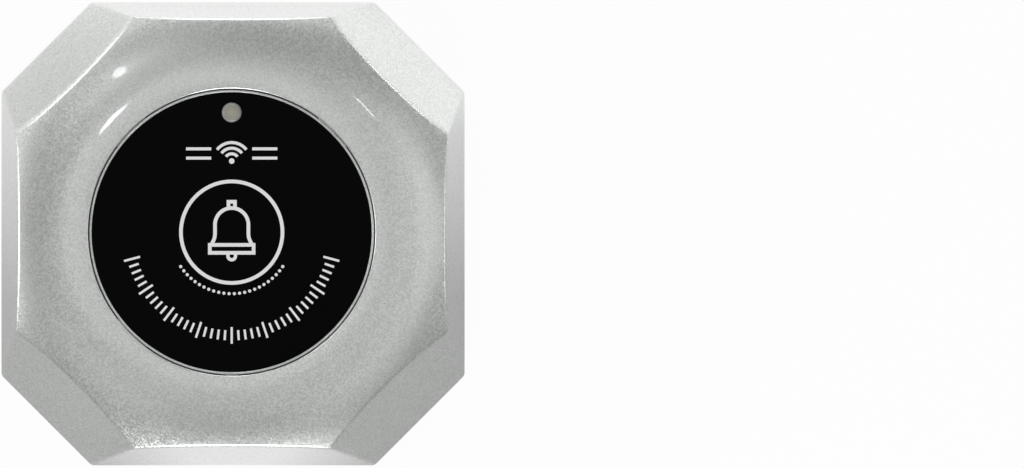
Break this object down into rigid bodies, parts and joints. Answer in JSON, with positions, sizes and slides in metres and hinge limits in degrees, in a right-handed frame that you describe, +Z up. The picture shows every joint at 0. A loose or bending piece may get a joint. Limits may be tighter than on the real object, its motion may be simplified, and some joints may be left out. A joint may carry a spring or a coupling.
{
  "type": "wireless waiter call button",
  "caption": "Octagonal table-top call button: silver crowned case, flush round black push face with a bell pictogram and a small indicator light, coin-slot battery door below.",
  "frame": {"origin": "on the table, under the centre of the case", "axes": "+Z up out of the round push face; +Y towards the side with the indicator light, which is the top of the bell pictogram; +X to the right of the pictogram"},
  "size_m": [0.07, 0.07, 0.0198],
  "materials": {
    "silver_paint": "metallic silver paint with fine flake on moulded ABS",
    "black_label": "glossy black printed polycarbonate overlay",
    "white_ink": "white screen print",
    "black_abs": "fine spark texture on moulded black ABS",
    "milky_epoxy": "milky diffused epoxy",
    "white_nylon": "moulded natural nylon",
    "grey_silicone": "soft silicone",
    "black_rubber": "soft matt rubber",
    "board_laminate": "green solder mask on glass laminate",
    "moulded_chip": "moulded epoxy package",
    "ceramic": "fired ceramic",
    "tinned_metal": "tinned sheet and wire",
    "spring_steel": "drawn spring steel wire and strip",
    "screw_steel": "zinc plated steel",
    "cell_steel": "nickel plated pressed steel",
    "copper_wire": "enamelled copper wire"
  },
  "bodies": {
    "housing": {"upper_cover": "silver_paint", "base_cover": "black_abs", "case_gasket": "grey_silicone", "door_seal": "black_rubber", "rubber_feet": "black_rubber", "housing_screws": "screw_steel", "board_screws": "screw_steel", "return_spring": "spring_steel", "indicator_led": "milky_epoxy", "led_leads": "tinned_metal", "led_spacer": "white_nylon", "circuit_board": "board_laminate", "switch_housing": "moulded_chip", "switch_cover_plate": "tinned_metal", "switch_dome": "spring_steel", "switch_legs": "tinned_metal", "radio_chip": "moulded_chip", "chip_legs": "tinned_metal", "crystal_can": "tinned_metal", "antenna_coil": "copper_wire", "chip_resistors": "moulded_chip", "chip_capacitors": "ceramic", "battery_cell": "cell_steel", "positive_contact": "spring_steel", "negative_contact": "spring_steel"},
    "button": {"button_cap": "silver_paint", "face_label": "black_label", "label_print": "white_ink"},
    "stem": {"switch_stem": "moulded_chip"},
    "door": {"battery_door": "black_abs"}
  },
  "joints": [
    {"name": "button_press", "type": "slide", "parent": "housing", "child": "button", "axis": [0, 0, -1], "range_m": [0, 0.0005], "stiffness_N_per_m": 3000, "springref_m": -0.0005, "deforming": ["return_spring"]},
    {"name": "stem_press", "type": "slide", "parent": "housing", "child": "stem", "axis": [0, 0, -1], "range_m": [0, 0.0005]},
    {"name": "door_turn", "type": "hinge", "parent": "housing", "child": "door", "pos_m": [0, 0, 0.0016], "axis": [0, 0, 1], "range_deg": [-60, 0]}
  ],
  "couplings": [
    {"joint": "stem_press", "follows": "button_press", "ratio": 1}
  ]
}
